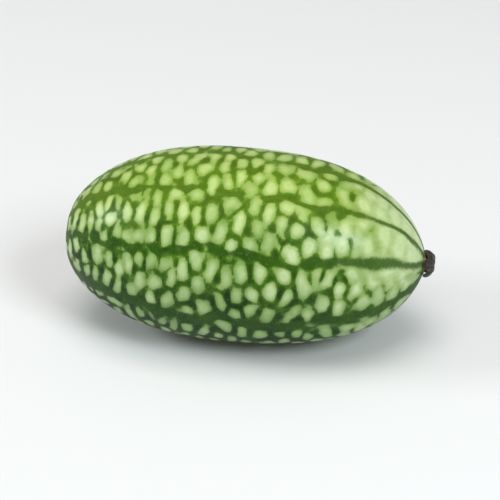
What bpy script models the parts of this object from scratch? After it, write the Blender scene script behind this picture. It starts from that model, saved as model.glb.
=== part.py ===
"""A cucamelon as picked, lying on its side: the fruit, and the dried blossom that clings to its tip.

Metres, +Z up. The fruit lies along X, with its stalk end at -X and its blossom end at +X. The origin
is on the surface that it rests on, under the middle of its box.
"""

import math

import bmesh
import bpy
from mathutils import Matrix, Vector

MM = 0.001

# The fruit
FRUIT_LENGTH = 31.4 * MM
FRUIT_DIAMETER = 17.2 * MM
WIDEST_AT = 0.48  # share of the length from the stalk end
STALK_HALF_FULLNESS = 2.24  # powers of the outline: 2 is an ellipse, more is fuller
BLOSSOM_HALF_FULLNESS = 2.44

# Shallow ribs: a groove runs under each of the dark stripes
STRIPES = 10
RIB_DEPTH = 0.09 * MM
RIB_DEPTH_AT_STALK = 0.4  # share of RIB_DEPTH
STRIPE_DRIFTS = (  # (waves round, radians, phase): they are unevenly spaced
    (1, 0.046, 1.02),
    (2, 0.038, -2.88),
    (3, 0.032, 0.77),
)

# What keeps it from being a turned shape
OVALNESS = 0.010  # share of the radius
LOPSIDEDNESS = 0.007
BEND = 0.28 * MM  # sideways, at mid length

# The stalk scar: a dimple with a low corky ring in it
DIMPLE_DEPTH = 0.42 * MM
DIMPLE_RADIUS = 1.75 * MM
SCAR_RADIUS = 0.72 * MM
SCAR_RING_HEIGHT = 0.20 * MM
SCAR_RING_WIDTH = 0.26 * MM

# The blossom end: a low nose, and a nub on it that the blossom sits over
NOSE_HEIGHT = 0.22 * MM
NOSE_RADIUS = 2.20 * MM
NUB_HEIGHT = 0.14 * MM
NUB_RADIUS = 1.15 * MM

# How it lies
REST_PITCH = math.radians(1.3)  # blossom end down
ROLL = math.radians(14.7)  # about its own axis
SPOT_DEPTH = 0.16 * MM  # of the flat spot that it rests on

# The dried blossom: a crumpled cap whose rim is drawn back towards the fruit
BLOSSOM_GAP = 0.32 * MM  # to the nub
BLOSSOM_LOBES = 5
LOBE_REACH = 0.13  # share of the radius
LOBE_CURL = 0.06 * MM
BLOSSOM_OUTLINE = (  # (radius, height above its hollow), from under the cap round to its face
    (0.34 * MM, 0.00 * MM),
    (0.66 * MM, -0.03 * MM),
    (0.90 * MM, -0.12 * MM),
    (1.07 * MM, -0.14 * MM),
    (1.04 * MM, 0.08 * MM),
    (0.80 * MM, 0.30 * MM),
    (0.48 * MM, 0.41 * MM),
    (0.18 * MM, 0.37 * MM),
)

# Meshing
FRUIT_SEGMENTS = 60
FRUIT_RINGS = 46
POLE_CROWDING = 0.62  # rings move towards the two ends, where the small forms are
BLOSSOM_SEGMENTS = 30


def smooth_step(low, high, value):
    """0 below low, 1 above high, and a smooth rise between them."""
    share = min(1.0, max(0.0, (value - low) / (high - low)))
    return share * share * (3.0 - 2.0 * share)


def outline_radius(share):
    """The fruit's radius at this share of its length from the stalk end."""
    if share < WIDEST_AT:
        reach = (WIDEST_AT - share) / WIDEST_AT
        power = STALK_HALF_FULLNESS
    else:
        reach = (share - WIDEST_AT) / (1.0 - WIDEST_AT)
        power = BLOSSOM_HALF_FULLNESS
    return FRUIT_DIAMETER / 2 * math.sqrt(max(0.0, 1.0 - min(1.0, reach) ** power))


def stripe_phase(angle):
    """The angle round the fruit in stripes: a whole number on each stripe's middle."""
    drift = sum(size * math.sin(waves * angle + phase) for waves, size, phase in STRIPE_DRIFTS)
    return STRIPES * (angle + drift) / math.tau


def end_relief(share, radius):
    """How far the small forms of the two ends move the surface along the axis."""
    if share < 0.5:
        dimple = DIMPLE_DEPTH * math.exp(-((radius / DIMPLE_RADIUS) ** 2))
        ring = SCAR_RING_HEIGHT * math.exp(-(((radius - SCAR_RADIUS) / SCAR_RING_WIDTH) ** 2))
        return dimple - ring
    nose = NOSE_HEIGHT * math.exp(-((radius / NOSE_RADIUS) ** 2))
    nub = NUB_HEIGHT * (1.0 - smooth_step(0.5 * NUB_RADIUS, NUB_RADIUS, radius))
    return nose + nub


def fruit_point(polar, angle):
    """A point of the fruit's skin in its own frame, with its axis on X.

    polar runs from 0 at the stalk end to pi at the blossom end, and angle goes round the axis.
    """
    share = (1.0 - math.cos(polar)) / 2
    radius = outline_radius(share)
    x = (share - 0.5) * FRUIT_LENGTH + end_relief(share, radius)
    depth = RIB_DEPTH * (RIB_DEPTH_AT_STALK + (1.0 - RIB_DEPTH_AT_STALK) * share)
    fade = smooth_step(0.0, 0.45 * FRUIT_DIAMETER, radius)
    groove = depth * fade * (0.5 + 0.5 * math.cos(math.tau * stripe_phase(angle)))
    uneven = OVALNESS * math.cos(2 * angle + 0.4) + LOPSIDEDNESS * math.cos(3 * angle + 2.4 * share)
    radius = radius * (1.0 + uneven) - groove
    bend = BEND * (1.0 - (2.0 * share - 1.0) ** 2)
    return Vector((x, radius * math.cos(angle) + bend, radius * math.sin(angle)))


def lying():
    """The turn from the fruit's own frame to how it lies: rolled, then its blossom end down."""
    return Matrix.Rotation(REST_PITCH, 3, "Y") @ Matrix.Rotation(ROLL, 3, "X")


def fruit_mesh():
    """The fruit from a UV sphere whose points are moved out to its skin, with its flat spot."""
    mesh = bmesh.new()
    bmesh.ops.create_uvsphere(mesh, u_segments=FRUIT_SEGMENTS, v_segments=FRUIT_RINGS, radius=1.0)
    turn = lying()
    for vert in mesh.verts:
        even = math.acos(max(-1.0, min(1.0, -vert.co.z)))
        polar = even - POLE_CROWDING / 2 * math.sin(2 * even)
        angle = math.atan2(vert.co.y, vert.co.x)
        vert.co = turn @ fruit_point(polar, angle)
    floor = min(vert.co.z for vert in mesh.verts) + SPOT_DEPTH
    for vert in mesh.verts:
        vert.co.z = max(floor, vert.co.z)
    return mesh


def blossom_mesh():
    """The dried blossom: its outline spun round the axis, then drawn out into withered lobes."""
    mesh = bmesh.new()
    ring = [mesh.verts.new((height, radius, 0.0)) for radius, height in BLOSSOM_OUTLINE]
    edges = [mesh.edges.new(pair) for pair in zip(ring, ring[1:])]
    bmesh.ops.spin(
        mesh,
        geom=ring + edges,
        cent=(0.0, 0.0, 0.0),
        axis=(1.0, 0.0, 0.0),
        dvec=(0.0, 0.0, 0.0),
        angle=math.tau,
        steps=BLOSSOM_SEGMENTS,
        use_merge=True,
    )
    bmesh.ops.remove_doubles(mesh, verts=mesh.verts, dist=0.01 * MM)
    bmesh.ops.holes_fill(mesh, edges=[edge for edge in mesh.edges if edge.is_boundary], sides=0)
    rim = max(radius for radius, _ in BLOSSOM_OUTLINE)
    for vert in mesh.verts:
        angle = math.atan2(vert.co.z, vert.co.y)
        share = smooth_step(0.2, 1.0, math.hypot(vert.co.y, vert.co.z) / rim)
        lobe = math.cos(BLOSSOM_LOBES * angle) + 0.35 * math.cos(2 * angle + 1.0)
        vert.co.y *= 1.0 + LOBE_REACH * share * lobe
        vert.co.z *= 1.0 + LOBE_REACH * share * lobe
        vert.co.x += LOBE_CURL * share * math.cos(BLOSSOM_LOBES * angle + 0.7)
    tip = fruit_point(math.pi, 0.0)
    turn = lying()
    for vert in mesh.verts:
        vert.co = turn @ (tip + Vector((BLOSSOM_GAP, 0.0, 0.0)) + vert.co)
    bmesh.ops.recalc_face_normals(mesh, faces=mesh.faces)
    return mesh


def material(name, colour, roughness):
    """A plain Principled material."""
    made = bpy.data.materials.new(name)
    made.use_nodes = True
    shader = made.node_tree.nodes["Principled BSDF"]
    shader.inputs["Base Color"].default_value = (*colour, 1.0)
    shader.inputs["Roughness"].default_value = roughness
    shader.inputs["Metallic"].default_value = 0.0
    return made


def add_object(name, mesh, finish, parent):
    """A named object from a bmesh, shaded smooth, under the parent."""
    data = bpy.data.meshes.new(name)
    mesh.to_mesh(data)
    mesh.free()
    data.materials.append(finish)
    data.shade_smooth()
    made = bpy.data.objects.new(name, data)
    bpy.context.scene.collection.objects.link(made)
    made.parent = parent
    return made


def clear_scene():
    """Starts from an empty scene."""
    for old in list(bpy.data.objects):
        bpy.data.objects.remove(old, do_unlink=True)


def main():
    clear_scene()
    whole = bpy.data.objects.new("cucamelon", None)
    bpy.context.scene.collection.objects.link(whole)
    skin = material("fruit_skin", (0.29, 0.45, 0.15), 0.38)
    dry = material("dried_blossom", (0.055, 0.032, 0.018), 0.85)
    pieces = [
        add_object("fruit", fruit_mesh(), skin, whole),
        add_object("dried_blossom", blossom_mesh(), dry, whole),
    ]
    corners = [vert.co for piece in pieces for vert in piece.data.vertices]
    low = Vector(min(corner[axis] for corner in corners) for axis in range(3))
    high = Vector(max(corner[axis] for corner in corners) for axis in range(3))
    whole.location = (-(low.x + high.x) / 2, -(low.y + high.y) / 2, -low.z)


main()
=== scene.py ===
"""The looks of a cucamelon as picked: its netted and striped skin, and the dried blossom at its tip.

Metres, +Z up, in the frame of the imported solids. The fruit lies along X, blossom end at +X.
"""

import math

import bmesh
import bpy
import numpy as np
from bpy.props import FloatProperty, FloatVectorProperty, IntProperty, PointerProperty
from mathutils import Matrix, Vector, noise
from mathutils.kdtree import KDTree


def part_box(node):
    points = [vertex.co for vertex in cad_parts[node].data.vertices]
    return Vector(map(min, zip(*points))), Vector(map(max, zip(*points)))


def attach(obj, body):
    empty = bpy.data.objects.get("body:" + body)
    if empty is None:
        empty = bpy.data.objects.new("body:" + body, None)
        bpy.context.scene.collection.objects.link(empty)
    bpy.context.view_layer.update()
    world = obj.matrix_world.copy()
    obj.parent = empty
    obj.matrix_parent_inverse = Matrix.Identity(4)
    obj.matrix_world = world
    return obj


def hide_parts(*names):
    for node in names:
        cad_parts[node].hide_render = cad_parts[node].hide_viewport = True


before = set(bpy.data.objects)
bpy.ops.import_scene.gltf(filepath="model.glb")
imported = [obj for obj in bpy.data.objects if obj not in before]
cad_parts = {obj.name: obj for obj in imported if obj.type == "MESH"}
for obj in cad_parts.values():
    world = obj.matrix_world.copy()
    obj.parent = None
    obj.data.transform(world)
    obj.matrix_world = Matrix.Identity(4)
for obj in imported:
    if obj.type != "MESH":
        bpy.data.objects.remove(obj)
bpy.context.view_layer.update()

bl_info = {
    "name": "Cucamelon",
    "version": (1, 0, 0),
    "blender": (4, 5, 0),
    "location": "View3D > Sidebar > Cucamelon",
    "description": "Dresses the cucamelon's solids with its netted skin, its dried blossom and a stage",
    "category": "Object",
}

MM = 0.001
FRUIT_LOW, FRUIT_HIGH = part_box("fruit")
TIP_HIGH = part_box("dried_blossom")[1]

# The fruit's shape, as in its solid
WIDEST_AT = 0.48  # share of the length from the stalk end
STALK_HALF_FULLNESS = 2.24  # powers of the outline: 2 is an ellipse, more is fuller
BLOSSOM_HALF_FULLNESS = 2.44
RIB_DEPTH = 0.09 * MM
RIB_DEPTH_AT_STALK = 0.4  # share of RIB_DEPTH
RIB_FULL_AT = 0.45  # share of the diameter: nearer to the axis, ribs and dents fade out
STRIPE_DRIFTS = (  # (waves round, radians, phase): the stripes are unevenly spaced
    (1, 0.046, 1.02),
    (2, 0.038, -2.88),
    (3, 0.032, 0.77),
)
OVALNESS = 0.010  # share of the radius
OVAL_TURN = 0.4  # radians
LOPSIDEDNESS = 0.007
LOPSIDED_TWIST = 2.4  # radians from end to end
BEND = 0.28 * MM  # sideways, at mid length
DIMPLE_DEPTH = 0.42 * MM
DIMPLE_RADIUS = 1.75 * MM
SCAR_RADIUS = 0.72 * MM
SCAR_RING_HEIGHT = 0.20 * MM
SCAR_RING_WIDTH = 0.26 * MM
NOSE_HEIGHT = 0.22 * MM
NOSE_RADIUS = 2.20 * MM
NUB_HEIGHT = 0.14 * MM
NUB_RADIUS = 1.15 * MM
NUB_FLAT = 0.5  # share of NUB_RADIUS
REST_PITCH = math.radians(1.3)  # blossom end down
ROLL = math.radians(14.7)  # about its own axis
BLOSSOM_GAP = 0.32 * MM  # from the nub to the blossom's hollow

# The fine skin's mesh, and the points that show how far the fruit reaches as it lies
SEGMENTS = 320
RINGS = 309
POLE_CROWDING = 0.30  # rings move towards the two ends, where the small forms are
REACH_RINGS = 721
REACH_SEGMENTS = 361

# The flat sheet that the markings grow on
SHEET_ALONG = 300
SHEET_AROUND = 360
ROW_CROWDING = 0.25  # rows move towards the stalk end, where the cells are finer
ARC_STEPS = 2001
LUMP_FALL = 2.0  # how fast waves finer than a noise's lumps fade out of it
SHORT = 0.001  # keeps an index short of the last row
TINY = 1e-9  # keeps a divisor above 0

# Sides of the lying fruit, as angles round it from +Y upwards
UP = math.radians(90.0)
DOWN = math.radians(270.0)

# From here on, a SIZE is that of a noise's lumps, and on the sheet it is (along, around).
# An EDGE is where a smooth rise starts and where it ends

# The stripes
STRIPE_WANDER = 0.028  # radians
STRIPE_WANDER_SIZES = ((7.0 * MM, 12.0 * MM), (2.2 * MM, 5.0 * MM))
STRIPE_LUMPS = 0.5  # share of the half width
STRIPE_LUMP_SIZE = (1.2 * MM, 1.4 * MM)
STRIPE_SWELL = 0.15  # share of the half width
STRIPE_SWELL_SIZE = (6.0 * MM, 6.0 * MM)
STRIPE_TIP_EDGE = (0.55, 0.80)  # shares of the skin's length from the stalk end
STRIPE_TIP_WIDER = 0.4  # share of the width
STRIPE_TIP_CALMER = 0.8  # share of the lumps that is lost
# Stripes are wider on the lower flank as the fruit lies: partly its own broad stripe there, partly
# painted shade
STRIPE_HEAVY = 0.7  # share of the width
STRIPE_HEAVY_SIDE = math.radians(235.0)
STRIPE_FED = 0.30  # half widths that the net adds to a stripe, or a cell takes off it
STRIPE_LIMITS = (-3.0, 1.5)

# The cells and the net between them. A wave of 1 is as long as a cell, and one of 2 half that
NET_LEVELS = 3
NET_ROUNDS = 3
NET_BAND = 0.42  # how far from 1 a wave can still grow
NET_CROSS = 0.15  # how much the waves along the fruit gain on those round it
NET_GRAIN = 1.0  # fresh noise in each round
NET_PUSH = 0.7
NET_LEAN = 0.6  # towards the dark
NET_UNEVEN = 0.12
NET_UNEVEN_SIZE = (5.0 * MM, 5.0 * MM)
NET_GAIN = 1.3  # how sharply each round parts the pale from the dark
NET_HELD = 0.9  # how much a stripe holds the cells back
NET_HELD_EDGE = (-1.0, 0.4)  # half widths inside the stripe
NET_KEPT = 0.9  # how far from NET_KEPT_AT a wave is still kept at the end
NET_KEPT_AT = 1.1
NET_FINE = 0.4
NET_FINE_SIZE = (0.6 * MM, 0.8 * MM)
NET_LIMITS = (-3.0, 3.0)
COVER_REACH = (0.15, 0.70)  # the pale cover holds between these shares of the skin's length
BORDER_WIDTH = 0.16 * MM
BORDER_UNEVEN = 1.3
BORDER_UNEVEN_SIZE = (1.5 * MM, 1.5 * MM)
BORDER_SOFT = 0.16 * MM

# How the cells melt together towards the blossom end, later on the upper side and less below. The
# paleness this brings is partly the skin's own and partly painted sheen, and less of it below is partly
# painted shade
MELT_EDGE = (0.65, 0.87)  # shares of the skin's length from the stalk end
MELT_WANDER = 0.025
MELT_WANDER_SIZE = (5.0 * MM, 6.0 * MM)
MELT_LATE = 0.06
MELT_LATE_SIDE = math.radians(95.0)
MELT_SHARE = 0.55  # share of the net that is lost
# Partly the skin's own paleness towards the blossom end, partly painted sheen
MELT_PALE = 2.1  # added to the cells
# Less melting below: partly more net there, partly painted shade
MELT_BELOW = 0.70  # share of the melting that is lost on the under side
MELT_BELOW_EDGE = (-0.6, 0.2)

# The under side, darker by painted shade and by its truly smaller cells, the upper side, yellower by
# painted top light, and how light the cells are
UNDER_EDGE = (-0.35, 0.65)
# Fewer, smaller pale cells on the under side: partly the skin's own pattern, partly painted shade
UNDER_NET = 0.6  # taken off the cells
TOP_LIT_EDGE = (0.4, 1.0)
TONE_MEAN = 0.72
# Painted shade: how much darker the cells are on the under side
TONE_UNDER = 0.66
# Lighter towards the blossom end: partly the skin's own paleness, partly painted sheen
TONE_MELTED = 0.45
TONE_PATCH = 0.20
TONE_PATCH_SIZE = (1.6 * MM, 2.0 * MM)
TONE_SPREAD = 0.10
TONE_SPREAD_SIZE = (6.0 * MM, 5.0 * MM)
TONE_LIMITS = (0.0, 1.2)

# Small forms that only the fine skin has
SKIN_INSET = 0.02 * MM
NOISE_EDGE = (-1.5, 1.5)  # deviations
DENT_DEPTH = 0.035 * MM
DENT_SIZE = (6.0 * MM, 6.0 * MM)
NET_DEPTH = 0.015 * MM
NET_DEPTH_EDGE = (-1.0, 0.5)
CORK_ROUGHNESS = 0.14 * MM
CORK_SIZE = (0.5 * MM, 1.8 * MM)
CORK_RADIUS = 1.25 * MM
CORK_FULL = 0.6  # share of CORK_RADIUS
CORK_AT_TIP = -0.4  # share of the roughness: at the tip, inward is towards -X

# The rind's finish
NET_STOPS = (-1.4, -0.7, -0.10, 0.10, 0.34, 2.5)  # from the deep green to the pale middle
RAGGED_SIZE = 0.24 * MM
RAGGED = 0.9
STRIPE_COVER = 0.92
STRIPE_EDGE = (-0.4, 0.5)
WHITE = (1.0, 1.0, 1.0)
# Low tone draws the skin towards this colour: its random duller patches, and painted shade on the under
# side
DULLED_AND_SHADED = (0.50, 0.65, 0.37)
# Painted top light: the upper side is tinted yellower and drawn towards the top light colour
TOP_LIGHT_TINT = (1.0, 0.98, 0.72)
TOP_LIGHT_SHARE = 0.2
FLECK_SIZE = 0.15 * MM
FLECK_EDGE = (0.58, 0.78)
FLECK_SHARE = 0.26
GRAIN_SIZE = 0.45 * MM
GRAIN_DARK = (0.80, 0.84, 0.74)
GRAIN_LIGHT = (1.10, 1.08, 1.12)
PEEL_SIZE = 0.5 * MM
PEEL_HEIGHT = 0.010 * MM
CELL_HEIGHT = 0.010 * MM
CELL_EDGE = (-0.8, 0.8)
WAX_EDGE = (-0.5, 0.4)
GLOSS_SIZE = 1.2 * MM

# The scars' finish, by millimetres from the axis
SCAR_WANDER = 0.4
SCAR_WANDER_SIZE = 0.35 * MM
SCAR_EDGE = (0.90, 1.12)
# The scar's darker middle is partly its own colour and partly painted shade in its hollow
HOLLOW_EDGE = (0.10, 0.55)
HOLLOW_SHARE = 0.7
# Painted shade: a dark green halo round each scar, at the foot of its raised rim
HALO_EDGE = (1.05, 1.7)
HALO_SHARE = 0.45
FIBRE_SIZE = 0.22 * MM
FIBRE_EDGE = (0.35, 0.65)
FIBRE_HEIGHT = 0.06 * MM

# The dried blossom
CAP_OUTLINE = (  # (radius, height above its hollow) from its foot in the nub round to its face
    (0.52 * MM, -0.46 * MM),
    (0.40 * MM, -0.20 * MM),
    (0.46 * MM, -0.06 * MM),
    (0.70 * MM, -0.08 * MM),
    (0.90 * MM, -0.22 * MM),
    (1.02 * MM, -0.42 * MM),
    (1.11 * MM, -0.46 * MM),
    (1.14 * MM, -0.32 * MM),
    (1.08 * MM, -0.08 * MM),
    (0.94 * MM, 0.12 * MM),
    (0.72 * MM, 0.27 * MM),
    (0.46 * MM, 0.36 * MM),
    (0.20 * MM, 0.30 * MM),
    (0.02 * MM, 0.26 * MM),
)
CAP_STEPS = 5  # from each point of the outline to the next
CAP_SEGMENTS = 160
CAP_LOBES = 5
CAP_LOBE_FROM = 0.2  # share of the rim's radius
CAP_LOBE_REACH = 0.13
CAP_LOBE_CURL = 0.13 * MM
CAP_LOPSIDED = (2, 0.35, 1.0)  # (waves round, share of a lobe, phase)
CAP_FOLDS = ((13, 0.035 * MM, 0.4), (22, 0.020 * MM, 1.9))  # (waves round, height, phase)
CAP_SEED = 5  # of the crumples
CAP_CRUMPLE = 0.07 * MM
CAP_CRUMPLE_SIZE = 0.35 * MM
TISSUE_SIZE = 0.18 * MM
TISSUE_EDGE = (0.35, 0.6)
TISSUE_HEIGHT = 0.05 * MM
TISSUE_PATCH_SIZE = 0.7 * MM
TISSUE_PATCH_EDGE = (0.52, 0.72)
TISSUE_PATCH_SHARE = 0.35
POINTED_EDGE = (0.50, 0.60)
POINTED_SHARE = 0.6
FOLD_SHADE = (0.008, 0.005, 0.003)
FOLD_SHARE = 0.5

# The stage
FLOOR_HALF_WIDTH = 1.5
FLOOR_TOOTH_SIZE = 2.0 * MM
FLOOR_TOOTH_SHADE = (0.70, 0.70, 0.69)
FLOOR_TOOTH_SHARE = 0.04
LAMPS = (  # (name, way to it from the fruit, distance, size, watts, colour, seen in the gloss)
    ("left_box", (-0.90, -0.15, 0.50), 0.40, 0.13, 0.61, (0.90, 0.95, 1.0), True),
    ("right_box", (0.55, -0.53, 0.64), 0.40, 0.14, 0.91, (0.85, 0.93, 1.0), True),
    ("top_box", (-0.05, -0.18, 1.0), 0.45, 0.28, 1.15, (1.0, 0.98, 0.94), False),
)
ROOM_LIGHT = 0.34
CAMERA_AIM = 0.46  # share of the fruit's height
CAMERA_NEAR = 0.005


def linear(red, green, blue):
    """A colour in linear light from its 0 to 255 display numbers."""
    return tuple(((channel / 255 + 0.055) / 1.055) ** 2.4 for channel in (red, green, blue))


def smooth_step(low, high, value):
    """0 below low, 1 above high, and a smooth rise between them, for numbers and arrays."""
    share = np.clip((value - low) / (high - low), 0.0, 1.0)
    return share * share * (3.0 - 2.0 * share)


class FruitLook(bpy.types.PropertyGroup):
    """Sizes and colours of the skin."""

    length: FloatProperty(
        name="Length",
        description="Length of the fruit without its nub and dried blossom",
        default=31.4 * MM,
        unit="LENGTH",
    )
    diameter: FloatProperty(
        name="Diameter",
        description="Thickness of the fruit where it is widest",
        default=17.2 * MM,
        unit="LENGTH",
    )
    seed: IntProperty(
        name="Seed",
        description="Another number grows other cells and lines",
        default=3,
        min=0,
    )
    stripes: IntProperty(
        name="Stripes",
        description="Dark stripes from end to end",
        default=10,
        min=1,
    )
    stripe_width: FloatProperty(
        name="Stripe width",
        description="Mean width of a stripe where the fruit is widest",
        default=0.54 * MM,
        unit="LENGTH",
    )
    cell_length: FloatProperty(
        name="Cell spacing along",
        description="Mean spacing of the pale cells along the fruit",
        default=1.3 * MM,
        unit="LENGTH",
    )
    cell_width: FloatProperty(
        name="Cell spacing around",
        description="Spacing of the pale cells round the fruit where it is widest",
        default=2.1 * MM,
        unit="LENGTH",
    )
    pale_cover: FloatProperty(
        name="Pale cover",
        description="Share of the skin that the pale cells cover",
        default=0.63,
        subtype="FACTOR",
        min=0.05,
        max=0.95,
    )
    deep_colour: FloatVectorProperty(
        name="Deep green",
        description="Colour of the darkest spots of the stripes and the net",
        default=linear(26, 54, 0),
        subtype="COLOR",
    )
    stripe_colour: FloatVectorProperty(
        name="Stripe",
        description="Colour of the stripes and of the net's thick lines",
        default=linear(46, 82, 1),
        subtype="COLOR",
    )
    net_colour: FloatVectorProperty(
        name="Net",
        description="Colour of the net's thin lines",
        default=linear(72, 112, 8),
        subtype="COLOR",
    )
    edge_colour: FloatVectorProperty(
        name="Cell edge",
        description="Colour of a cell's edge",
        default=linear(110, 143, 51),
        subtype="COLOR",
    )
    cell_colour: FloatVectorProperty(
        name="Cell",
        description="Colour of a cell",
        default=linear(139, 166, 88),
        subtype="COLOR",
    )
    pale_colour: FloatVectorProperty(
        name="Pale middle",
        description="Colour of the palest middles of cells",
        default=linear(188, 206, 152),
        subtype="COLOR",
    )
    # Painted top light: a yellower green for the upper side as the fruit lies
    top_light_colour: FloatVectorProperty(
        name="Top light",
        description="Colour that the skin's upper side is drawn towards",
        default=linear(150, 182, 40),
        subtype="COLOR",
    )
    cork_colour: FloatVectorProperty(
        name="Cork",
        description="Colour of the scars at the two ends",
        default=linear(182, 164, 112),
        subtype="COLOR",
    )
    # Also paints shade into the scar's hollow, besides the cork's own darker cracks and middle
    scar_colour: FloatVectorProperty(
        name="Scar",
        description="Colour of the cork's cracks and of the hollow in its middle",
        default=linear(104, 84, 48),
        subtype="COLOR",
    )


class BlossomLook(bpy.types.PropertyGroup):
    """Colours of the dried blossom."""

    dry_colour: FloatVectorProperty(
        name="Dry tissue",
        description="Colour of the withered cap",
        default=linear(28, 20, 14),
        subtype="COLOR",
    )
    edge_colour: FloatVectorProperty(
        name="Dry edges",
        description="Colour of its thin edges and folds",
        default=linear(96, 72, 44),
        subtype="COLOR",
    )


class StageLook(bpy.types.PropertyGroup):
    """The floor, the lights and the camera."""

    azimuth: FloatProperty(
        name="Azimuth",
        description="How far the camera stands round from the fruit's side",
        default=math.radians(8.0),
        subtype="ANGLE",
    )
    elevation: FloatProperty(
        name="Elevation",
        description="How far above the horizon the camera stands",
        default=math.radians(30.0),
        subtype="ANGLE",
    )
    lens: FloatProperty(
        name="Lens",
        description="Focal length in millimetres",
        default=120.0,
        min=20.0,
    )
    fill: FloatProperty(
        name="Fill",
        description="Share of the picture's width that the fruit takes",
        default=0.74,
        subtype="FACTOR",
        min=0.1,
        max=1.0,
    )
    floor_colour: FloatVectorProperty(
        name="Floor",
        description="Colour of the floor",
        default=linear(222, 222, 221),
        subtype="COLOR",
    )
    light: FloatProperty(
        name="Light",
        description="Strength of the three lamps together",
        default=1.0,
        min=0.0,
    )


class CucamelonLook(bpy.types.PropertyGroup):
    """Everything that the panel shows."""

    fruit: PointerProperty(type=FruitLook)
    blossom: PointerProperty(type=BlossomLook)
    stage: PointerProperty(type=StageLook)


class Value:
    """An output socket of a finish. Arithmetic on it adds Math nodes."""

    def __init__(self, finish, socket):
        self.finish = finish
        self.socket = socket

    def math(self, operation, *terms):
        """A Math node on these terms."""
        return self.finish.node("ShaderNodeMath", {"operation": operation}, dict(enumerate(terms)))

    def __add__(self, other):
        return self.math("ADD", self, other)

    def __radd__(self, other):
        return self.math("ADD", other, self)

    def __sub__(self, other):
        return self.math("SUBTRACT", self, other)

    def __rsub__(self, other):
        return self.math("SUBTRACT", other, self)

    def __mul__(self, other):
        return self.math("MULTIPLY", self, other)

    def __rmul__(self, other):
        return self.math("MULTIPLY", other, self)


class Finish:
    """A material whose nodes are written as expressions, round one Principled shader."""

    def __init__(self, name):
        self.material = bpy.data.materials.new(name)
        self.material.use_nodes = True
        self.tree = self.material.node_tree
        self.shader = self.tree.nodes["Principled BSDF"]

    def fill(self, socket, value):
        """Gives a socket a value or a link."""
        if isinstance(value, Value):
            self.tree.links.new(value.socket, socket)
        elif socket.type == "RGBA" and len(value) == 3:
            socket.default_value = (*value, 1.0)
        else:
            socket.default_value = value

    def node(self, kind, settings=None, inputs=None, output=0):
        """Adds a node: its settings first, then the values or links of its sockets."""
        made = self.tree.nodes.new(kind)
        for name, value in (settings or {}).items():
            if name == "stops":
                self.set_stops(made.color_ramp.elements, value)
            else:
                setattr(made, name, value)
        for name, value in (inputs or {}).items():
            self.fill(made.inputs[name], value)
        return Value(self, made.outputs[output])

    def set_stops(self, elements, stops):
        """Gives a ramp its (position, colour) stops."""
        while len(elements) < len(stops):
            elements.new(0.5)
        for element, (position, colour) in zip(elements, stops):
            element.position = position
            element.color = (*colour, 1.0)

    def surface(self, **sockets):
        """Fills the Principled shader's sockets. Underscores stand for spaces in their names."""
        for name, value in sockets.items():
            self.fill(self.shader.inputs[name.replace("_", " ")], value)

    def place(self):
        """The piece's own coordinates."""
        return self.node("ShaderNodeTexCoord", output="Object")

    def attribute(self, name):
        """A number that the mesh holds at its points."""
        return self.node("ShaderNodeAttribute", {"attribute_name": name}, output="Fac")

    def noise(self, size, detail=2.0, roughness=0.5, warp=0.0):
        """Noise from 0 to 1 with lumps of this size."""
        inputs = {
            "Vector": self.place(),
            "Scale": 1.0 / size,
            "Detail": detail,
            "Roughness": roughness,
            "Distortion": warp,
        }
        return self.node("ShaderNodeTexNoise", inputs=inputs, output="Fac")

    def step(self, value, low, high):
        """0 below low, 1 above high, and a smooth rise between them."""
        inputs = {"Value": value, "From Min": low, "From Max": high}
        return self.node("ShaderNodeMapRange", {"interpolation_type": "SMOOTHSTEP"}, inputs)

    def ramp(self, value, stops):
        """A colour that runs through (value, colour) stops."""
        low = stops[0][0]
        reach = stops[-1][0] - low
        places = [((place - low) / reach, tuple(colour)) for place, colour in stops]
        share = (value - low) * (1.0 / reach)
        return self.node("ShaderNodeValToRGB", {"stops": places}, {"Fac": share})

    def mix(self, share, first, second, blend="MIX"):
        """A colour between two, or the second laid on the first by a blend mode."""
        settings = {"data_type": "RGBA", "blend_type": blend}
        return self.node("ShaderNodeMix", settings, {0: share, 6: first, 7: second}, output=2)

    def bump(self, height, distance, normal=None):
        """A normal raised by a height from 0 to 1, over this distance."""
        inputs = {"Height": height, "Distance": distance}
        if normal is not None:
            inputs["Normal"] = normal
        return self.node("ShaderNodeBump", inputs=inputs)


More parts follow.
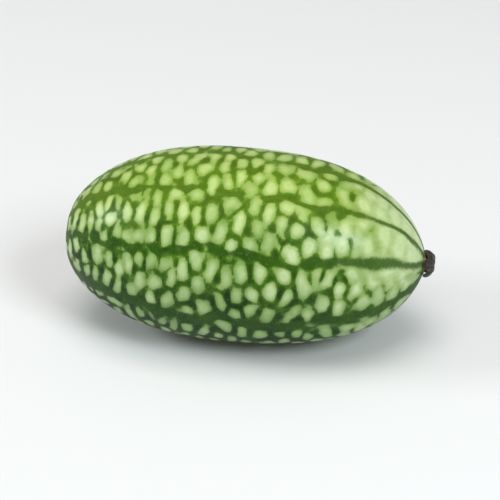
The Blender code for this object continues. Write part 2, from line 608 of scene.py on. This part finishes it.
class FlatSkin:
    """The skin laid flat as a sheet of numbers: rows along the fruit, columns round it.

    The rows crowd towards the stalk end, so that what grows on the sheet is finer there.
    """

    def __init__(self, look):
        self.look = look
        self.random = np.random.default_rng(look.seed)
        self.polar_table = np.linspace(0.0, math.pi, ARC_STEPS)
        share = (1.0 - np.cos(self.polar_table)) / 2
        steps = np.hypot(np.diff(share * look.length), np.diff(outline_radius(look, share)))
        arc = np.concatenate([[0.0], np.cumsum(steps)])
        girth = math.pi * look.diameter
        self.arc_table = arc / arc[-1]
        self.row_table = self.arc_table + ROW_CROWDING * self.arc_table * (1.0 - self.arc_table)
        row = ((np.arange(SHEET_ALONG) + 0.5) / SHEET_ALONG)[:, None]
        polar = np.interp(row, self.row_table, self.polar_table)
        self.share = np.interp(row, self.row_table, self.arc_table)
        self.angle = (np.arange(SHEET_AROUND) / SHEET_AROUND * math.tau)[None, :]
        self.radius = outline_radius(look, (1.0 - np.cos(polar)) / 2)
        self.waves_along = np.fft.fftfreq(SHEET_ALONG, arc[-1] / SHEET_ALONG)[:, None]
        self.waves_around = np.fft.fftfreq(SHEET_AROUND, girth / SHEET_AROUND)[None, :]

    def waves(self, along, around):
        """Each wave of the sheet, as a multiple of a wave of this length."""
        return np.hypot(self.waves_along * along, self.waves_around * around)

    def filtered(self, sheet, response):
        """The sheet with its waves weighted, brought to a deviation of 1."""
        kept = np.real(np.fft.ifft2(np.fft.fft2(sheet) * response))
        return kept / kept.std()

    def grain(self):
        """A sheet of unrelated random numbers."""
        return self.random.standard_normal((SHEET_ALONG, SHEET_AROUND))

    def noise(self, along, around):
        """Soft noise with lumps of this size, a mean of 0 and a deviation of 1."""
        soft = np.exp(-LUMP_FALL * self.waves(along, around) ** 2)
        soft[0, 0] = 0.0
        return self.filtered(self.grain(), soft)

    def facing(self, side):
        """1 on this side of the lying fruit, 0 a quarter turn from it and -1 opposite."""
        return np.cos(self.angle + ROLL - side)

    def stripes(self):
        """How far inside a stripe each point is, in stripe half widths: 0 on its edge."""
        wander = sum(STRIPE_WANDER * self.noise(*size) for size in STRIPE_WANDER_SIZES)
        phase = math.tau * stripe_phase(self.look, self.angle + wander)
        distance = np.arccos(np.cos(phase)) / self.look.stripes * self.radius
        lumps = STRIPE_LUMPS * self.noise(*STRIPE_LUMP_SIZE)
        lumps += STRIPE_SWELL * self.noise(*STRIPE_SWELL_SIZE)
        tip = smooth_step(*STRIPE_TIP_EDGE, self.share)
        heavy = STRIPE_HEAVY * np.maximum(0.0, self.facing(STRIPE_HEAVY_SIDE))
        width = self.look.stripe_width * (1.0 + heavy + STRIPE_TIP_WIDER * tip)
        return 1.0 + lumps * (1.0 - STRIPE_TIP_CALMER * tip) - distance / (width / 2)

    def grown(self, stripes, cell_width):
        """Cells of one width round the fruit, grown from noise.

        They follow the rule that marks many rinds and pelts: colour spreads close by and is
        hindered a little further off.
        """
        wave = self.waves(self.look.cell_length, cell_width)
        crosswise = (self.waves_along * self.look.cell_length / np.maximum(wave, TINY)) ** 2
        band = np.exp(-(((wave - 1.0) / NET_BAND) ** 2))
        growth = band * (1.0 - NET_CROSS + NET_CROSS * crosswise)
        lean = NET_UNEVEN * self.noise(*NET_UNEVEN_SIZE) - NET_LEAN
        held = NET_HELD * smooth_step(*NET_HELD_EDGE, stripes)
        cells = self.grain()
        for _ in range(NET_ROUNDS):
            pushed = self.filtered(cells + NET_GRAIN * self.grain(), growth)
            cells = np.tanh(NET_GAIN * (NET_PUSH * pushed + lean - held))
        return self.filtered(cells, np.exp(-(((wave - NET_KEPT_AT) / NET_KEPT) ** 2)))

    def melt(self):
        """How far the cells have melted together: from 0 up to 1 towards the blossom end."""
        late = MELT_LATE * self.facing(MELT_LATE_SIDE)
        share = self.share + MELT_WANDER * self.noise(*MELT_WANDER_SIZE) - late
        below = smooth_step(*MELT_BELOW_EDGE, self.facing(DOWN))
        return (1.0 - MELT_BELOW * below) * smooth_step(*MELT_EDGE, share)

    def net(self, stripes, melt):
        """The net between the stripes: above 0 in the pale cells and below 0 in the dark lines.

        Cells are as wide at the ends as at mid length, so wider and wider ones on the sheet
        take over as the fruit narrows.
        """
        level = np.log2(self.look.diameter / 2 / self.radius)
        level = np.clip(level, 0.0, NET_LEVELS - 1 - SHORT)
        total = np.zeros((SHEET_ALONG, SHEET_AROUND))
        spread = np.zeros((SHEET_ALONG, 1))
        for step in range(NET_LEVELS):
            weight = np.clip(1.0 - np.abs(level - step), 0.0, 1.0)
            total += weight * self.grown(stripes, self.look.cell_width * 2**step)
            spread += weight**2
        cells = total / np.sqrt(spread)
        border = self.borders(cells)
        cells += NET_FINE * self.noise(*NET_FINE_SIZE)
        low, high = COVER_REACH
        middle = cells[(self.share[:, 0] > low) & (self.share[:, 0] < high)]
        cells -= np.quantile(middle, 1.0 - self.look.pale_cover)
        gap = BORDER_WIDTH / 2 * (1.0 + BORDER_UNEVEN * self.noise(*BORDER_UNEVEN_SIZE))
        cells = np.minimum(cells, (border - gap) / BORDER_SOFT)
        # Taking cells off the under side is partly the skin's own pattern and partly painted shade
        return cells * (1.0 - MELT_SHARE * melt) + MELT_PALE * melt - UNDER_NET * self.under()

    def borders(self, cells):
        """How far each point is from the border between its cell and the next one.

        A cell's middle is where the numbers peak. Along the fruit, lengths count for more, so
        that the borders part cells which are wider than they are long.
        """
        sides = [(up, over) for up in (-1, 0, 1) for over in (-1, 0, 1) if up or over]
        highest = np.max([np.roll(cells, side, (0, 1)) for side in sides], axis=0)
        polar = np.interp(self.share, self.arc_table, self.polar_table)
        polar, angle = np.broadcast_arrays(polar, self.angle)
        places = skin_points(self.look, polar, angle, 0.0)
        places[..., 0] *= self.look.cell_width / self.look.cell_length
        middles = places[(cells > highest) & (cells > 0.0)]
        tree = KDTree(len(middles))
        for index, middle in enumerate(middles):
            tree.insert(middle, index)
        tree.balance()
        found = [tree.find_n(place, 2) for place in places.reshape(-1, 3)]
        nearest = np.array([[hit[2] for hit in hits] for hits in found])
        return ((nearest[:, 1] - nearest[:, 0]) / 2).reshape(cells.shape)

    def under(self):
        """1 on the side that the fruit lies on and 0 on its upper side, where painted shade darkens the
        skin.
        """
        return smooth_step(*UNDER_EDGE, self.facing(DOWN))

    def sunned(self, melt):
        """1 on the upper side short of the blossom end, where painted top light draws the skin to a
        yellower green.
        """
        return smooth_step(*TOP_LIT_EDGE, self.facing(UP)) * (1.0 - melt)

    def tone(self, melt):
        """How light the cells are, from about 0 to 1: patchy, darker on the under side by painted
        shade, and lighter towards the blossom end but less so below, partly by painted sheen and
        painted shade.
        """
        patches = TONE_PATCH * self.noise(*TONE_PATCH_SIZE)
        patches += TONE_SPREAD * self.noise(*TONE_SPREAD_SIZE)
        under = self.under()
        return TONE_MEAN + patches - TONE_UNDER * under + TONE_MELTED * melt * (1.0 - under)

    def at(self, sheet, polar, angle):
        """The sheet's value at points of the skin."""
        row = np.interp(polar, self.polar_table, self.row_table) * SHEET_ALONG - 0.5
        row = np.clip(row, 0.0, SHEET_ALONG - 1 - SHORT)
        column = (angle % math.tau) / math.tau * SHEET_AROUND
        low_row = row.astype(int)
        low_column = column.astype(int) % SHEET_AROUND
        next_column = (low_column + 1) % SHEET_AROUND
        up = row - low_row
        over = column - np.floor(column)
        low = sheet[low_row, low_column] * (1 - over) + sheet[low_row, next_column] * over
        high = sheet[low_row + 1, low_column] * (1 - over) + sheet[low_row + 1, next_column] * over
        return low * (1 - up) + high * up


def outline_radius(look, share):
    """The fruit's radius at this share of its length from the stalk end."""
    stalk_half = share < WIDEST_AT
    half = np.where(stalk_half, WIDEST_AT, 1.0 - WIDEST_AT)
    reach = np.abs(share - WIDEST_AT) / half
    power = np.where(stalk_half, STALK_HALF_FULLNESS, BLOSSOM_HALF_FULLNESS)
    return look.diameter / 2 * np.sqrt(np.maximum(0.0, 1.0 - np.clip(reach, 0.0, 1.0) ** power))


def stripe_phase(look, angle):
    """The angle round the fruit in stripes: a whole number on each stripe's middle."""
    drift = sum(size * np.sin(waves * angle + phase) for waves, size, phase in STRIPE_DRIFTS)
    return look.stripes * (angle + drift) / math.tau


def end_relief(share, radius):
    """How far the small forms of the two ends move the skin along the axis."""
    dimple = DIMPLE_DEPTH * np.exp(-((radius / DIMPLE_RADIUS) ** 2))
    ring = SCAR_RING_HEIGHT * np.exp(-(((radius - SCAR_RADIUS) / SCAR_RING_WIDTH) ** 2))
    nose = NOSE_HEIGHT * np.exp(-((radius / NOSE_RADIUS) ** 2))
    nub = NUB_HEIGHT * (1.0 - smooth_step(NUB_FLAT * NUB_RADIUS, NUB_RADIUS, radius))
    return np.where(share < 0.5, dimple - ring, nose + nub)


def skin_points(look, polar, angle, sunk):
    """Points of the skin in the fruit's own frame, sunk by this much."""
    share = (1.0 - np.cos(polar)) / 2
    radius = outline_radius(look, share)
    x = (share - 0.5) * look.length + end_relief(share, radius)
    depth = RIB_DEPTH * (RIB_DEPTH_AT_STALK + (1.0 - RIB_DEPTH_AT_STALK) * share)
    fade = smooth_step(0.0, RIB_FULL_AT * look.diameter, radius)
    groove = depth * fade * (0.5 + 0.5 * np.cos(math.tau * stripe_phase(look, angle)))
    uneven = OVALNESS * np.cos(2 * angle + OVAL_TURN)
    uneven = uneven + LOPSIDEDNESS * np.cos(3 * angle + LOPSIDED_TWIST * share)
    radius = np.maximum(0.0, radius * (1.0 + uneven) - groove - sunk * fade)
    bend = BEND * (1.0 - (2.0 * share - 1.0) ** 2)
    return np.stack([x, radius * np.cos(angle) + bend, radius * np.sin(angle)], axis=-1)


def lying():
    """The turn from the fruit's own frame to how it lies."""
    return Matrix.Rotation(REST_PITCH, 3, "Y") @ Matrix.Rotation(ROLL, 3, "X")


def laid_down(look, points):
    """Points of the fruit's own frame, turned and moved to where its solid lies."""
    turn = np.array(lying()).T
    rings = np.linspace(0.0, math.pi, REACH_RINGS)
    polar, angle = np.meshgrid(rings, np.linspace(0.0, math.tau, REACH_SEGMENTS))
    skin = skin_points(look, polar.ravel(), angle.ravel(), 0.0) @ turn
    low = np.array(FRUIT_LOW)
    high = np.array(FRUIT_HIGH)
    shift = (low + high) / 2 - (skin.min(axis=0) + skin.max(axis=0)) / 2
    shift[2] = high[2] - skin[:, 2].max()
    return points @ turn + shift


def add_piece(name, mesh, finish, node):
    """A piece in the row frame that stands for a node of the frame."""
    piece = bpy.data.objects.new(name, mesh)
    mesh.materials.append(finish.material)
    mesh.shade_smooth()
    bpy.context.scene.collection.objects.link(piece)
    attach(piece, "root")
    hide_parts(node)
    return piece


def write_numbers(mesh, name, values):
    """Keeps one number at each of a mesh's points."""
    made = mesh.attributes.new(name, "FLOAT", "POINT")
    made.data.foreach_set("value", np.ascontiguousarray(values, dtype=np.float32))


def skin_mesh(look):
    """The fine skin, with its markings as numbers at its points."""
    form = bmesh.new()
    bmesh.ops.create_uvsphere(form, u_segments=SEGMENTS, v_segments=RINGS, radius=1.0)
    mesh = bpy.data.meshes.new("fruit_skin")
    form.to_mesh(mesh)
    form.free()
    ball = np.empty(len(mesh.vertices) * 3)
    mesh.vertices.foreach_get("co", ball)
    ball = ball.reshape(-1, 3)
    even = np.arccos(np.clip(-ball[:, 2], -1.0, 1.0))
    polar = even - POLE_CROWDING / 2 * np.sin(2 * even)
    angle = np.arctan2(ball[:, 1], ball[:, 0])
    flat = FlatSkin(look)
    stripes = flat.stripes()
    melt = flat.melt()
    net = flat.net(stripes, melt)
    tone = flat.tone(melt)
    dents = flat.at(flat.noise(*DENT_SIZE), polar, angle)
    cork = flat.at(flat.noise(*CORK_SIZE), polar, angle)
    raised = smooth_step(*NET_DEPTH_EDGE, flat.at(net, polar, angle))
    sunk = SKIN_INSET + DENT_DEPTH * smooth_step(*NOISE_EDGE, dents)
    sunk += NET_DEPTH * (1.0 - raised)
    radius = outline_radius(look, (1.0 - np.cos(polar)) / 2)
    grown = skin_points(look, polar, angle, sunk)
    corky = 1.0 - smooth_step(CORK_FULL * CORK_RADIUS, CORK_RADIUS, radius)
    inward = np.where(polar < math.pi / 2, 1.0, CORK_AT_TIP)
    cracks = smooth_step(*NOISE_EDGE, cork)
    grown[:, 0] += inward * CORK_ROUGHNESS * corky * cracks
    points = laid_down(look, grown)
    points[:, 2] = np.maximum(FRUIT_LOW.z, points[:, 2])
    mesh.vertices.foreach_set("co", points.ravel())
    stripes += STRIPE_FED * np.clip(-net, -1.0, 1.0)
    write_numbers(mesh, "net", np.clip(flat.at(net, polar, angle), *NET_LIMITS))
    write_numbers(mesh, "stripe", np.clip(flat.at(stripes, polar, angle), *STRIPE_LIMITS))
    write_numbers(mesh, "tone", np.clip(flat.at(tone, polar, angle), *TONE_LIMITS))
    # Painted top light on the upper side
    write_numbers(mesh, "sunned", flat.at(flat.sunned(melt), polar, angle))
    write_numbers(mesh, "off_axis", radius / MM)
    mesh.update()
    return mesh


def skin_finish(look):
    """Waxy green rind: pale cells in a dark net, crossed by dark stripes, with corky scars."""
    finish = Finish("waxy_green_rind")
    ragged = finish.noise(RAGGED_SIZE, detail=3.0) - 0.5
    cell = finish.attribute("net") + ragged * RAGGED
    stripe = finish.attribute("stripe") + ragged * RAGGED
    striped = finish.step(stripe, *STRIPE_EDGE)
    greens = (
        look.deep_colour,
        look.stripe_colour,
        look.net_colour,
        look.edge_colour,
        look.cell_colour,
        look.pale_colour,
    )
    colour = finish.ramp(cell, tuple(zip(NET_STOPS, greens)))
    colour = finish.mix(striped * STRIPE_COVER, colour, look.stripe_colour)
    # The tone darkens random patches and, as painted shade, the under side
    shade = finish.mix(finish.attribute("tone"), DULLED_AND_SHADED, WHITE)
    colour = finish.mix(1.0, colour, shade, blend="MULTIPLY")
    # Painted top light: the upper side is tinted yellower
    sunned = finish.attribute("sunned")
    colour = finish.mix(sunned, colour, TOP_LIGHT_TINT, blend="MULTIPLY")
    colour = finish.mix(sunned * TOP_LIGHT_SHARE, colour, look.top_light_colour)
    flecks = finish.step(finish.noise(FLECK_SIZE, detail=1.0), *FLECK_EDGE)
    colour = finish.mix(flecks * FLECK_SHARE, colour, look.cell_colour)
    grain = finish.mix(finish.noise(GRAIN_SIZE, detail=4.0), GRAIN_DARK, GRAIN_LIGHT)
    colour = finish.mix(1.0, colour, grain, blend="MULTIPLY")
    fibre = finish.noise(FIBRE_SIZE, detail=4.0, roughness=0.7)
    colour, cork = scarred(finish, look, colour, fibre)
    peel = finish.bump(finish.noise(PEEL_SIZE, detail=2.0), PEEL_HEIGHT)
    peel = finish.bump(fibre * cork, FIBRE_HEIGHT, normal=peel)
    waxy = finish.step(cell, *WAX_EDGE) * (1.0 - striped)
    uneven = finish.noise(GLOSS_SIZE, detail=3.0)
    finish.surface(
        Base_Color=colour,
        Roughness=0.44 + uneven * 0.12 - waxy * 0.12 + cork * 0.25,
        Normal=finish.bump(finish.step(cell, *CELL_EDGE), CELL_HEIGHT, normal=peel),
        Specular_IOR_Level=0.16,
        Coat_Weight=0.05 + waxy * 0.80,
        Coat_Roughness=0.32,
        Subsurface_Weight=0.05,
        Subsurface_Scale=0.6 * MM,
        Subsurface_Radius=(0.5, 0.9, 0.2),
    )
    return finish


def scarred(finish, look, colour, fibre):
    """The rind's colour with the two corky scars in it, and 1 where the cork is."""
    wander = (finish.noise(SCAR_WANDER_SIZE, detail=3.0) - 0.5) * SCAR_WANDER
    off_axis = finish.attribute("off_axis") + wander
    cork = 1.0 - finish.step(off_axis, *SCAR_EDGE)
    hollow = 1.0 - finish.step(off_axis, *HOLLOW_EDGE)
    halo = 1.0 - finish.step(off_axis, *HALO_EDGE)
    bark = finish.mix(finish.step(fibre, *FIBRE_EDGE), look.scar_colour, look.cork_colour)
    # Darker middle: partly the scar's own colour, partly painted shade in the hollow
    bark = finish.mix(hollow * HOLLOW_SHARE, bark, look.scar_colour)
    # Painted shade: a dark green halo round the scar's raised rim
    colour = finish.mix(halo * HALO_SHARE, colour, look.stripe_colour)
    return finish.mix(cork, colour, bark), cork


def outline_points(outline, steps):
    """A smooth line through the outline's points, this many steps from each to the next."""
    ends = [outline[0], *outline, outline[-1]]
    knots = [Vector(point) for point in ends]
    made = []
    for before, start, end, after in zip(knots, knots[1:], knots[2:], knots[3:]):
        for step in range(steps):
            t = step / steps
            bow = (end - before) * (t * (1 - t) ** 2) - (after - start) * (t * t * (1 - t))
            made.append(start * (1 - t * t * (3 - 2 * t)) + end * (t * t * (3 - 2 * t)) + bow / 2)
    made.append(knots[-1])
    return made


def blossom_mesh(look):
    """The dried blossom: a crumpled five-lobed cap on a short foot in the nub."""
    form = bmesh.new()
    line = outline_points(CAP_OUTLINE, CAP_STEPS)
    ring = [form.verts.new((point.y, point.x, 0.0)) for point in line]
    edges = [form.edges.new(pair) for pair in zip(ring, ring[1:])]
    bmesh.ops.spin(
        form,
        geom=ring + edges,
        cent=(0.0, 0.0, 0.0),
        axis=(1.0, 0.0, 0.0),
        dvec=(0.0, 0.0, 0.0),
        angle=math.tau,
        steps=CAP_SEGMENTS,
        use_merge=True,
    )
    bmesh.ops.holes_fill(form, edges=[edge for edge in form.edges if edge.is_boundary], sides=0)
    rim = max(radius for radius, _ in CAP_OUTLINE)
    noise.seed_set(CAP_SEED)
    for vert in form.verts:
        angle = math.atan2(vert.co.z, vert.co.y)
        radius = math.hypot(vert.co.y, vert.co.z)
        out = float(smooth_step(CAP_LOBE_FROM, 1.0, radius / rim))
        lobe = math.cos(CAP_LOBES * angle)
        folds = sum(height * math.cos(waves * angle + phase) for waves, height, phase in CAP_FOLDS)
        waves, share, phase = CAP_LOPSIDED
        reach = lobe + share * math.cos(waves * angle + phase)
        vert.co.y *= 1.0 + CAP_LOBE_REACH * out * reach
        vert.co.z *= 1.0 + CAP_LOBE_REACH * out * reach
        vert.co.x += out * (folds - CAP_LOBE_CURL * lobe)
        vert.co += CAP_CRUMPLE * out * noise.noise_vector(vert.co / CAP_CRUMPLE_SIZE)
    bmesh.ops.recalc_face_normals(form, faces=form.faces)
    mesh = bpy.data.meshes.new("dried_blossom_cap")
    form.to_mesh(mesh)
    form.free()
    tip = skin_points(look, np.array([math.pi]), np.array([0.0]), 0.0)[0]
    places = np.empty(len(mesh.vertices) * 3)
    mesh.vertices.foreach_get("co", places)
    places = places.reshape(-1, 3) + tip + (BLOSSOM_GAP, 0.0, 0.0)
    places = np.clip(laid_down(look, places), None, (TIP_HIGH.x, TIP_HIGH.y, TIP_HIGH.z))
    mesh.vertices.foreach_set("co", places.ravel())
    mesh.update()
    return mesh


def blossom_finish(look):
    """Dry, matt, black-brown tissue, paler on its thin edges."""
    finish = Finish("dry_blossom_tissue")
    tissue = finish.noise(TISSUE_SIZE, detail=4.0, roughness=0.65, warp=0.6)
    patch = finish.step(finish.noise(TISSUE_PATCH_SIZE, detail=2.0), *TISSUE_PATCH_EDGE)
    pointed = finish.step(finish.node("ShaderNodeNewGeometry", output="Pointiness"), *POINTED_EDGE)
    paler = pointed * POINTED_SHARE + patch * TISSUE_PATCH_SHARE
    colour = finish.mix(paler, look.dry_colour, look.edge_colour)
    colour = finish.mix(finish.step(tissue, *TISSUE_EDGE) * FOLD_SHARE, colour, FOLD_SHADE)
    finish.surface(
        Base_Color=colour,
        Roughness=0.74 + tissue * 0.2,
        Normal=finish.bump(tissue, TISSUE_HEIGHT),
        Sheen_Weight=0.15,
        Sheen_Roughness=0.6,
    )
    return finish


def floor_finish(look):
    """Pale matt card with the faintest tooth."""
    finish = Finish("pale_floor_card")
    tooth = finish.noise(FLOOR_TOOTH_SIZE, detail=3.0)
    shade = finish.mix(tooth * FLOOR_TOOTH_SHARE, look.floor_colour, FLOOR_TOOTH_SHADE)
    finish.surface(Base_Color=shade, Roughness=0.75 + tooth * 0.1)
    return finish


def aim(made, target, way, distance):
    """Puts a lamp or a camera this far out from the target, facing it."""
    made.location = target + way * distance
    made.rotation_euler = way.to_track_quat("Z", "Y").to_euler()
    bpy.context.scene.collection.objects.link(made)


def add_lamp(look, name, towards, distance, size, watts, colour, glossy):
    """A square soft box that faces the fruit from a direction."""
    lamp = bpy.data.lights.new(name, "AREA")
    lamp.size = size
    lamp.energy = watts * look.light
    lamp.color = colour
    made = bpy.data.objects.new(name, lamp)
    made.visible_glossy = glossy
    aim(made, Vector((0.0, 0.0, FRUIT_HIGH.z / 2)), Vector(towards).normalized(), distance)


class CUCAMELON_OT_skin(bpy.types.Operator):
    """Grows the fine skin with its net and stripes over the fruit's solid"""

    bl_idname = "cucamelon.skin"
    bl_label = "Skin"

    def execute(self, context):
        look = context.scene.cucamelon.fruit
        add_piece("fruit_rind", skin_mesh(look), skin_finish(look), "fruit")
        return {"FINISHED"}


class CUCAMELON_OT_blossom(bpy.types.Operator):
    """Puts the crumpled dried blossom on the nub at the tip"""

    bl_idname = "cucamelon.blossom"
    bl_label = "Dried blossom"

    def execute(self, context):
        looks = context.scene.cucamelon
        mesh = blossom_mesh(looks.fruit)
        finish = blossom_finish(looks.blossom)
        add_piece("withered_blossom", mesh, finish, "dried_blossom")
        return {"FINISHED"}


class CUCAMELON_OT_stage(bpy.types.Operator):
    """Lays the pale floor and sets the soft lights and the camera"""

    bl_idname = "cucamelon.stage"
    bl_label = "Stage"

    def execute(self, context):
        look = context.scene.cucamelon.stage
        self.lay_floor(look)
        self.set_lights(look)
        self.set_camera(look)
        return {"FINISHED"}

    def lay_floor(self, look):
        """A wide pale floor under the fruit."""
        form = bmesh.new()
        bmesh.ops.create_grid(form, x_segments=1, y_segments=1, size=FLOOR_HALF_WIDTH)
        mesh = bpy.data.meshes.new("pale_floor")
        form.to_mesh(mesh)
        form.free()
        mesh.materials.append(floor_finish(look).material)
        floor = bpy.data.objects.new("pale_floor", mesh)
        bpy.context.scene.collection.objects.link(floor)

    def set_lights(self, look):
        """Soft boxes on both sides and above, in a white room."""
        for lamp in LAMPS:
            add_lamp(look, *lamp)
        world = bpy.data.worlds.new("white_room")
        bpy.context.scene.world = world
        world.use_nodes = True
        sky = world.node_tree.nodes["Background"]
        sky.inputs["Color"].default_value = (*WHITE, 1.0)
        sky.inputs["Strength"].default_value = ROOM_LIGHT
        bpy.context.scene.view_settings.view_transform = "Standard"

    def set_camera(self, look):
        """A long lens at the photograph's angle."""
        camera = bpy.data.cameras.new("camera")
        camera.lens = look.lens
        camera.clip_start = CAMERA_NEAR
        made = bpy.data.objects.new("camera", camera)
        round_z = Matrix.Rotation(look.azimuth, 3, "Z")
        back = round_z @ Matrix.Rotation(-look.elevation, 3, "X") @ Vector((0.0, -1.0, 0.0))
        width = (TIP_HIGH.x - FRUIT_LOW.x) / look.fill
        distance = width * camera.lens / camera.sensor_width
        aim(made, Vector((0.0, 0.0, CAMERA_AIM * FRUIT_HIGH.z)), back, distance)
        bpy.context.scene.camera = made


class CUCAMELON_PT_panel(bpy.types.Panel):
    """The sizes and colours, with a button for each piece"""

    bl_label = "Cucamelon"
    bl_idname = "CUCAMELON_PT_panel"
    bl_space_type = "VIEW_3D"
    bl_region_type = "UI"
    bl_category = "Cucamelon"

    def draw(self, context):
        looks = context.scene.cucamelon
        for part, button in (
            (looks.fruit, CUCAMELON_OT_skin),
            (looks.blossom, CUCAMELON_OT_blossom),
            (looks.stage, CUCAMELON_OT_stage),
        ):
            box = self.layout.box()
            for name in part.__annotations__:
                box.prop(part, name)
            box.operator(button.bl_idname)


CLASSES = (
    FruitLook,
    BlossomLook,
    StageLook,
    CucamelonLook,
    CUCAMELON_OT_skin,
    CUCAMELON_OT_blossom,
    CUCAMELON_OT_stage,
    CUCAMELON_PT_panel,
)


def register():
    """Registers the classes and the scene's settings."""
    for kind in CLASSES:
        bpy.utils.register_class(kind)
    bpy.types.Scene.cucamelon = PointerProperty(type=CucamelonLook)


def unregister():
    """Takes back what register did."""
    del bpy.types.Scene.cucamelon
    for kind in reversed(CLASSES):
        bpy.utils.unregister_class(kind)


def main():
    """Registers the classes and makes both pieces and the stage."""
    register()
    bpy.ops.cucamelon.skin()
    bpy.ops.cucamelon.blossom()
    bpy.ops.cucamelon.stage()


if __name__ == "__main__":
    main()
